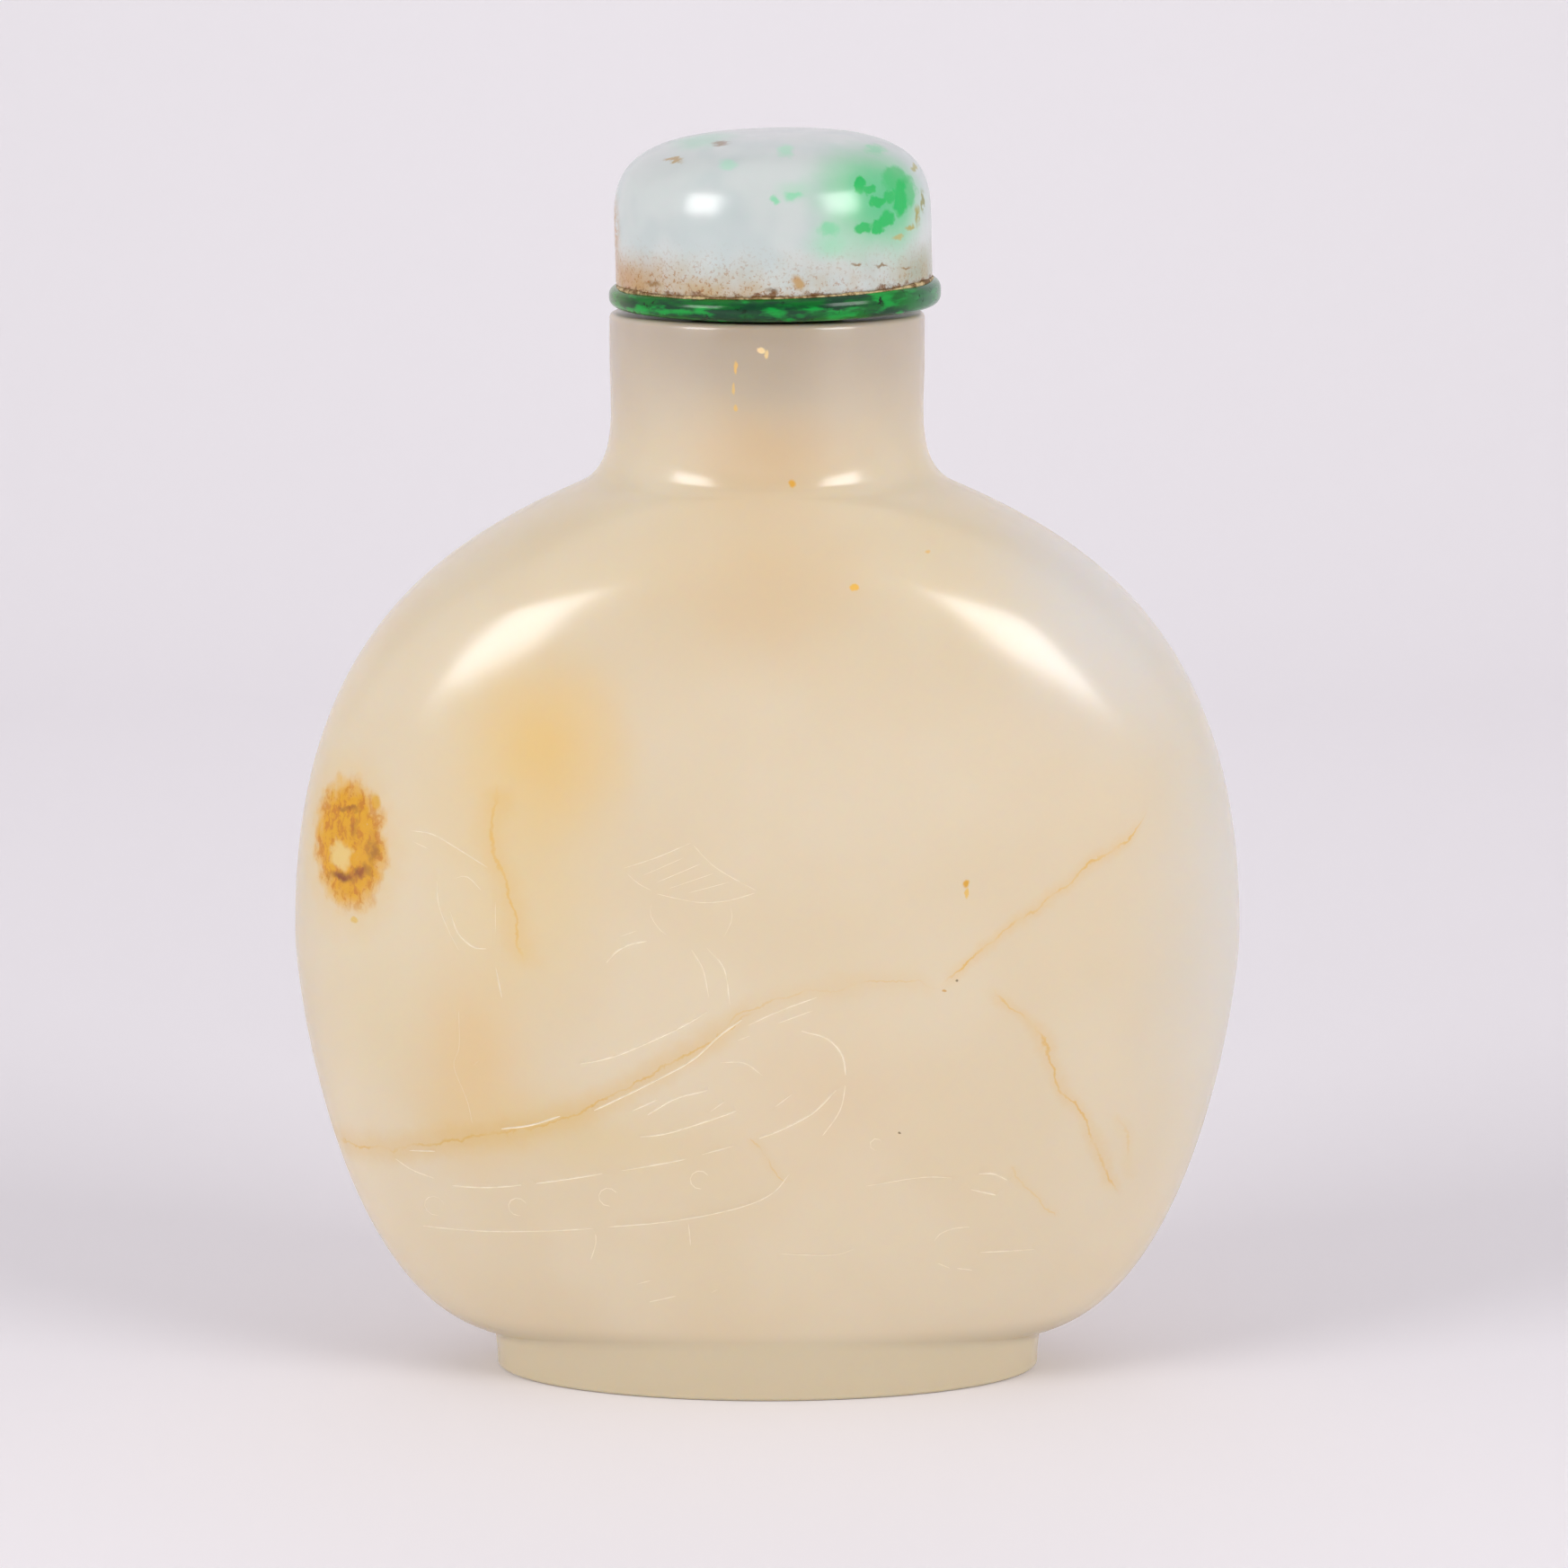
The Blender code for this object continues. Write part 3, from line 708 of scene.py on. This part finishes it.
def engrave(body, groundFinish):
    # thin tubes laid on the face cut the lines, as the engraver's wheel did
    surface = BVHTree.FromObject(body, bpy.context.evaluated_depsgraph_get())
    lines = bpy.data.curves.new("engravingLines", "CURVE")
    lines.dimensions = "3D"
    lines.bevel_depth = engraving["lineRadius"] * mm
    lines.bevel_resolution = 1
    lines.use_fill_caps = True
    strokes = [stroke for part in ("hat", "head", "robe", "pole", "hull", "paddle", "water")
               for stroke in engraving[part]]
    for (x, z), radius in engraving["ropeHoles"]:
        turn = [(x + radius * math.cos(a), z + radius * math.sin(a))
                for a in (math.radians(30 * step) for step in range(12))]
        strokes.append((engraving["holeDepth"], turn[:11]))
    for depth, points in strokes:
        route = smoothRoute(points, engraving["step"])
        spline = lines.splines.new("POLY")
        spline.points.add(len(route) - 1)
        for index, (x, z) in enumerate(route):
            hit, normal = surface.ray_cast(Vector((x, -50, z)) * mm, Vector((0, 1, 0)))[:2]
            place = hit + normal * engraving["lift"] * mm
            spline.points[index].co = (*place, 1)
            nearEnd = min(index, len(route) - 1 - index)
            taper = engraving["taper"][nearEnd] if nearEnd < 2 else 1.0
            thick = engraving["faintest"] + (1 - engraving["faintest"]) * depth
            spline.points[index].radius = thick * taper
    holder = bpy.data.objects.new("engravingLines", lines)
    scene.collection.objects.link(holder)
    cutterMesh = bpy.data.meshes.new_from_object(holder.evaluated_get(bpy.context.evaluated_depsgraph_get()))
    bpy.data.objects.remove(holder, do_unlink=True)
    bm = bmesh.new()
    bm.from_mesh(cutterMesh)
    bmesh.ops.remove_doubles(bm, verts=bm.verts, dist=0.002 * mm)
    bmesh.ops.recalc_face_normals(bm, faces=bm.faces)
    bm.to_mesh(cutterMesh)
    bm.free()
    cutterMesh.materials.clear()
    cutterMesh.materials.append(groundFinish)
    cutter = bpy.data.objects.new("engravingCutter", cutterMesh)
    scene.collection.objects.link(cutter)
    cut = body.modifiers.new("Engraving", "BOOLEAN")
    cut.operation = "DIFFERENCE"
    cut.object = cutter
    cut.use_self = True
    cut.material_mode = "TRANSFER"
    cutBody = bpy.data.meshes.new_from_object(body.evaluated_get(bpy.context.evaluated_depsgraph_get()))
    body.modifiers.clear()
    body.data = cutBody
    bpy.data.objects.remove(cutter, do_unlink=True)
    body.data.set_sharp_from_angle(angle=math.radians(25))


nephriteFinish = makeNephrite()
flaskBody = makeFlask([nephriteFinish])
print("flask made:", len(flaskBody.data.polygons), "faces")
engrave(flaskBody, makeGroundNephrite())
print("flask engraved:", len(flaskBody.data.polygons), "faces")


# The stopper leans a little, as one glued by hand does

stopper = {
    "forwardLean": 1.75, "collarLean": 0.4, "domeLean": 1.46, "offset": 0.42, "base": 0.385,
    "collarRadius": 8.75, "collarThickness": 1.22, "collarRound": 0.5,
    "domeRadius": 8.34, "domeWall": 3.02, "domeHeight": 7.9, "domeFullness": 3.1, "domeEdge": 0.25,
    "corkRadius": 4.0, "corkLength": 6.6, "corkTaper": 0.3,
    "segments": 144, "domeSteps": 40, "corkSegments": 72,
}


def settle(bm, name, finish, sideLean, offset):
    # from its own axis in millimetres to its place on the lip in metres
    turn = Euler((math.radians(stopper["forwardLean"]), math.radians(-sideLean), 0)).to_matrix().to_4x4()
    place = Matrix.Scale(mm, 4) @ Matrix.Translation((0, 0, flask["lip"])) @ turn
    bmesh.ops.transform(bm, matrix=place @ Matrix.Translation((offset, 0, 0)), verts=bm.verts)
    piece = finishPiece(bm, name, [finish])
    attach(piece, "root")
    return piece


domeStone = {
    "white": "cfd5d2", "coldWhite": "c6cfcd",
    # soft clouds of green, and of brown low on the left: centre, reach, core share, colour, strength
    "clouds": [
        ((5.6, -6.0, 63.3), (4.8, 5.5, 4.1), 0.2, "74cb96", 0.95),
        ((6.0, -5.8, 63.2), (2.4, 4, 2.1), 0.1, "52c488", 0.7),
        ((8.0, -3.0, 59.4), (3.4, 5, 1.9), 0.0, "98a083", 0.75),
        ((3.0, -7.6, 61.2), (1.9, 3, 1.4), 0.0, "8fd8ae", 0.6),
        ((1.4, -8, 64.0), (1.6, 3, 0.6), 0.0, "a8d8ba", 0.5),
        ((-3.5, -2, 66.2), (2.8, 4, 1.1), 0.1, "9fd3b8", 0.7),
        ((5.5, 5, 63.5), (4, 3, 2.5), 0.0, "86d6a4", 0.7),
        ((-7.2, -3, 58.9), (3.6, 7, 2.1), 0.0, "bf9158", 0.85),
        ((-3, -8, 58.5), (5, 4, 1.1), 0.0, "c2a67c", 0.6),
    ],
    # bright flecks: centre, reach, strength
    "flecks": [
        ((4.8, -6.7, 64.1), (0.36, 3, 0.6), 1.0), ((5.3, -6.4, 63.8), (0.4, 3, 0.28), 0.9),
        ((5.7, -6.3, 63.2), (0.55, 3, 0.3), 1.0), ((6.9, -5.0, 63.3), (0.45, 3, 1.1), 1.0),
        ((6.3, -5.7, 63.4), (0.35, 3, 0.45), 0.9), ((6.2, -5.9, 62.3), (0.5, 3, 0.5), 0.95),
        ((5.7, -6.5, 61.9), (0.45, 3, 0.4), 0.95), ((4.9, -7.1, 61.9), (0.55, 3, 0.4), 0.9),
        ((6.6, -4.8, 64.3), (0.9, 3, 0.75), 0.6), ((7.3, -4.3, 63.5), (0.6, 3, 1.0), 0.6),
        ((-3.0, 6.5, 62.5), (0.7, 3, 0.6), 0.8), ((4.5, 6.2, 63.9), (0.6, 3, 0.8), 0.8),
    ],
    # small marks in other colours: centre, reach, colour
    "marks": [
        ((3.2, -7.9, 61.9), (0.7, 2, 0.5), "86d3a5"), ((0.4, -8.3, 63.45), (0.4, 2, 0.28), "8fd8ae"),
        ((1.4, -8.2, 63.6), (0.65, 2, 0.26), "9ad9b5"), ((-2.0, -6.8, 65.1), (0.7, 2, 0.4), "b4dac6"),
        ((1.0, -6.0, 65.8), (0.6, 2, 0.5), "a9d8be"), ((5.6, -3.4, 65.7), (0.9, 2, 0.4), "86cda2"),
        ((8.1, -2.9, 63.0), (0.16, 1.5, 0.8), "8f8d3c"), ((7.8, -3.7, 62.3), (0.2, 1.5, 0.7), "a89c40"),
        ((7.4, -4.4, 61.7), (0.35, 1.5, 0.22), "b3a552"), ((7.7, -2.1, 64.7), (0.3, 1.5, 0.3), "a5a14c"),
        ((6.8, -5.3, 61.3), (0.4, 1.5, 0.18), "bdb271"), ((-4.9, -4.7, 65.25), (0.9, 1.2, 0.14), "b79a63"),
        ((-2.4, -4.0, 66.05), (0.7, 1, 0.16), "8f7450"), ((5.9, -6.2, 59.9), (0.45, 2, 0.1), "8d7350"),
        ((7.2, -4.7, 59.7), (0.4, 2, 0.1), "8d7350"), ((4.6, -7.2, 60.0), (0.3, 1.5, 0.12), "8d7350"),
        ((0.3, -8.4, 58.75), (0.45, 2, 0.22), "5f3c0a"), ((1.6, -8.3, 59.2), (0.4, 2, 0.5), "c09a5c"),
        ((-5.9, -6.0, 58.9), (0.6, 2, 0.2), "7d5418"),
    ],
    "grime": "a0640e", "wash": "bb954a", "stain": "7a4c0c", "fleck": "00bd5e", "scuffShade": "b4823a",
    "scuff": (-8.1, -1.4, 61.3), "scuffReach": (0.7, 2.6, 2.8),
    "roughness": 0.22, "ior": 1.66, "glow": 0.5, "glowColours": (0.8, 1.0, 0.9),
}


def makeDomeFinish():
    # jadeite, glassier than the flask: cold white with emerald patches, brown dirt near the glue
    finish, tree, shader, place = newMaterial("white_and_green_jadeite")
    soft = wander(tree, place, 2.4, 0.8)
    colour = blend(tree, domeStone["white"], domeStone["coldWhite"],
                   fade(tree, speckle(tree, place, 3.5), 0.4, 0.65))
    for centre, reach, core, shade, strength in domeStone["clouds"]:
        colour = tint(tree, colour, shade, times(tree, patch(tree, soft, centre, reach, core), strength))
    tight = wander(tree, place, 0.5, 0.3)
    for centre, reach, strength in domeStone["flecks"]:
        amount = times(tree, patch(tree, tight, centre, reach, 0.6), strength)
        colour = tint(tree, colour, domeStone["fleck"], amount)
    for centre, reach, shade in domeStone["marks"]:
        colour = tint(tree, colour, shade, times(tree, patch(tree, tight, centre, reach, 0.3), 0.85))
    # grime gathers low on the dome, most of it on the left
    slope = (-math.tan(math.radians(stopper["domeLean"])), -math.tan(math.radians(stopper["forwardLean"])), 1)
    above = addNode(tree, "ShaderNodeVectorMath", {"operation": "DOT_PRODUCT", 1: slope}, {0: place})
    foot = flask["lip"] + stopper["base"] + stopper["collarThickness"]
    axes = addNode(tree, "ShaderNodeSeparateXYZ", {}, {0: place})
    lowDown = fade(tree, above.outputs["Value"], foot + 3.4, foot - 0.6)
    leftward = remap(tree, axes.outputs["X"], 0.45, 1.0, 5, -7)
    wash = times(tree, fade(tree, above.outputs["Value"], foot + 2.8, foot - 0.4),
                 fade(tree, speckle(tree, place, 1.6, 4.0, 0.6), 0.25, 0.75))
    colour = tint(tree, colour, domeStone["wash"], times(tree, wash, leftward))
    grit = times(tree, fade(tree, speckle(tree, place, 0.2, 3.0, 0.75), 0.54, 0.64), lowDown)
    colour = tint(tree, colour, domeStone["grime"], times(tree, grit, leftward))
    scuffed = times(tree, patch(tree, tight, domeStone["scuff"], domeStone["scuffReach"], 0.1),
                    fade(tree, speckle(tree, place, 0.5, 4.0, 0.7), 0.35, 0.55))
    colour = tint(tree, colour, domeStone["scuffShade"], scuffed)
    # a broken crust right above the glue
    crust = remap(tree, speckle(tree, place, 0.7, 4.0, 0.75), -0.65, 0.75)
    level = addNode(tree, "ShaderNodeMath", {"operation": "SUBTRACT"}, {0: above.outputs["Value"], 1: crust})
    edge = fade(tree, level.outputs[0], foot + 0.26, foot + 0.06)
    broken = fade(tree, speckle(tree, place, 1.3, 4.0, 0.7), 0.36, 0.56)
    colour = tint(tree, colour, domeStone["stain"], times(tree, times(tree, edge, broken), 0.9))
    tree.links.new(colour, shader.inputs["Base Color"])
    polish(tree, shader, place, domeStone["roughness"], 2.8, 0.02)
    letLightIn(shader, domeStone)
    return finish


def makeDome(finish):
    wall, height = stopper["domeWall"], stopper["domeHeight"] - stopper["domeWall"]
    base = stopper["base"] + stopper["collarThickness"] - 0.03
    points = [(0, base + stopper["domeHeight"])]
    power = 2 / stopper["domeFullness"]
    for step in range(1, stopper["domeSteps"] + 1):
        angle = math.radians(90 * (1 - step / stopper["domeSteps"]))
        points.append((stopper["domeRadius"] * math.cos(angle) ** power,
                       base + wall + height * max(0.0, math.sin(angle)) ** power))
    points += [(stopper["domeRadius"], base + wall * share) for share in (0.75, 0.5, 0.25)]
    edge = stopper["domeEdge"]
    points += roundEdge((stopper["domeRadius"] - edge, base + edge), edge, 0, -90, 5)
    points += [(stopper["domeRadius"] * 0.5, base), (0, base)]
    bm = spinProfile(points, stopper["segments"])[0]
    piece = settle(bm, "dome", finish, stopper["domeLean"], stopper["offset"])
    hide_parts("stopper_cap")


collarStone = {
    "green": "066a22", "darkGreen": "123f26", "bright": "0b9638", "fleck": "08280f",
    # painted reflection: the greyer colours for the ring's two ends
    "leftEndReflection": "6a7a52", "rightEndReflection": "5f8670", "endPlace": (9.2, -1, 58), "endReach": (3.4, 8, 3),
    "roughness": 0.16, "shine": 0.2,
}


def makeCollarFinish():
    # jadeite of the deep green kind, streaked along the ring, with dark flecks; the greyer ends are painted
    # reflection of the pale room
    finish, tree, shader, place = newMaterial("green_jadeite")
    long = stretch(tree, place, (0.6, 0.6, 2.0))
    colour = blend(tree, collarStone["green"], collarStone["darkGreen"],
                   fade(tree, speckle(tree, long, 2.0, 4.0, 0.6), 0.42, 0.62))
    colour = tint(tree, colour, collarStone["bright"], fade(tree, speckle(tree, long, 1.1, 3.0), 0.5, 0.66))
    # painted reflection: a greyer tone laid on each end of the ring
    away, forward, up = collarStone["endPlace"]
    for side, shade in ((-1, collarStone["leftEndReflection"]), (1, collarStone["rightEndReflection"])):
        end = patch(tree, place, (side * away, forward, up), collarStone["endReach"], 0.2)
        colour = tint(tree, colour, shade, times(tree, end, 0.6))
    dark = fade(tree, speckle(tree, place, 0.7, 4.0, 0.7), 0.58, 0.7)
    colour = tint(tree, colour, collarStone["fleck"], dark)
    tree.links.new(colour, shader.inputs["Base Color"])
    polish(tree, shader, place, collarStone["roughness"], 1.2, 0.01)
    shader.inputs["IOR"].default_value = domeStone["ior"]
    shader.inputs["Specular IOR Level"].default_value = collarStone["shine"]
    return finish


# The bead of glue under the dome: its thickness, and the stretches where it swells,
# as turn in degrees from +X, half width in degrees and extra thickness
glueBead = {
    "radius": 8.3, "tube": 0.5, "thin": 0.07, "segments": 240,
    "swell": [(205, 20, 0.16), (238, 10, 0.09), (336, 16, 0.15), (300, 8, 0.05), (95, 25, 0.1)],
    "brown": "6b4a18", "pale": "cfb988", "roughness": 0.55,
}


def makeResinFinish():
    # old glue that has crept out of the joint and gone brown and crusty
    finish, tree, shader, place = newMaterial("old_resin")
    colour = blend(tree, glueBead["brown"], glueBead["pale"],
                   fade(tree, speckle(tree, place, 0.5, 4.0, 0.7), 0.4, 0.65))
    tree.links.new(colour, shader.inputs["Base Color"])
    shader.inputs["Roughness"].default_value = glueBead["roughness"]
    return finish


def makeCollar(finish, resinFinish):
    radius, edge = stopper["collarRadius"], stopper["collarRound"]
    low, high = stopper["base"], stopper["base"] + stopper["collarThickness"]
    points = [(0, high), (radius * 0.5, high)]
    points += roundEdge((radius - edge, high - edge), edge, 90, 0, 6)
    points += roundEdge((radius - edge, low + edge), edge, 0, -90, 6)
    points += [(radius * 0.5, low), (0, low)]
    bm = spinProfile(points, stopper["segments"])[0]
    centre, tube = glueBead["radius"], glueBead["tube"]
    bead = [bm.verts.new((centre + tube * math.cos(a), 0, high + tube * math.sin(a)))
            for a in (math.radians(45 * step) for step in range(8))]
    loop = [bm.edges.new((bead[i - 1], bead[i])) for i in range(8)]
    known = set(bm.faces)
    bmesh.ops.spin(bm, geom=bead + loop, cent=(0, 0, 0), axis=(0, 0, 1), angle=math.radians(360),
                   steps=glueBead["segments"], use_merge=True)
    glue = [face for face in bm.faces if face not in known]
    for vert in {vert for face in glue for vert in face.verts}:
        far = math.hypot(vert.co.x, vert.co.y)
        turn = math.degrees(math.atan2(vert.co.y, vert.co.x)) % 360
        thick = glueBead["thin"]
        for middle, half, extra in glueBead["swell"]:
            near = max(0.0, 1 - (min(abs(turn - middle), 360 - abs(turn - middle)) / half) ** 2)
            thick += extra * near * near * (0.75 + 0.5 * noise.noise(vert.co * 1.3))
        thick *= 1 + 0.35 * noise.noise(vert.co * 2.1)
        share = thick / tube
        reach = centre + (far - centre) * share
        vert.co = (vert.co.x * reach / far, vert.co.y * reach / far, high + (vert.co.z - high) * share)
    for face in glue:
        face.material_index = 1
    rise = math.tan(math.radians(stopper["domeLean"] - stopper["collarLean"]))
    # the ring is a slight wedge, thin on the left
    for vert in bm.verts:
        vert.co.z += rise * vert.co.x * max(0.0, min(1.0, (vert.co.z - low) / (high - low)))
    piece = settle(bm, "collar", finish, stopper["collarLean"], stopper["offset"])
    piece.data.materials.append(resinFinish)
    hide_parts("stopper_collar")


def makeCorkFinish():
    # old cork, darkened, dry and open-pored
    finish, tree, shader, place = newMaterial("old_cork")
    colour = blend(tree, "8b6644", "4e331f", fade(tree, speckle(tree, place, 0.8, 4.0, 0.7), 0.4, 0.62))
    tree.links.new(colour, shader.inputs["Base Color"])
    shader.inputs["Roughness"].default_value = 0.85
    return finish


def makeCork(finish):
    radius, length, taper = stopper["corkRadius"], stopper["corkLength"], stopper["corkTaper"]
    top = stopper["base"] + 0.02
    points = [(0, top), (radius, top)]
    points += [(radius - taper * share, top - length * share) for share in (0.25, 0.5, 0.75)]
    points += roundEdge((radius - 2 * taper, top - length + taper), taper, 0, -90, 4)
    points += [(0, top - length)]
    bm = spinProfile(points, stopper["corkSegments"])[0]
    for vert in bm.verts:
        vert.co += Vector((vert.co.x, vert.co.y, 0)) * 0.02 * noise.noise(vert.co * 1.4)
    piece = settle(bm, "cork", finish, stopper["collarLean"], 0)
    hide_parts("stopper_cork")


makeDome(makeDomeFinish())
makeCollar(makeCollarFinish(), makeResinFinish())
makeCork(makeCorkFinish())
print("stopper made")
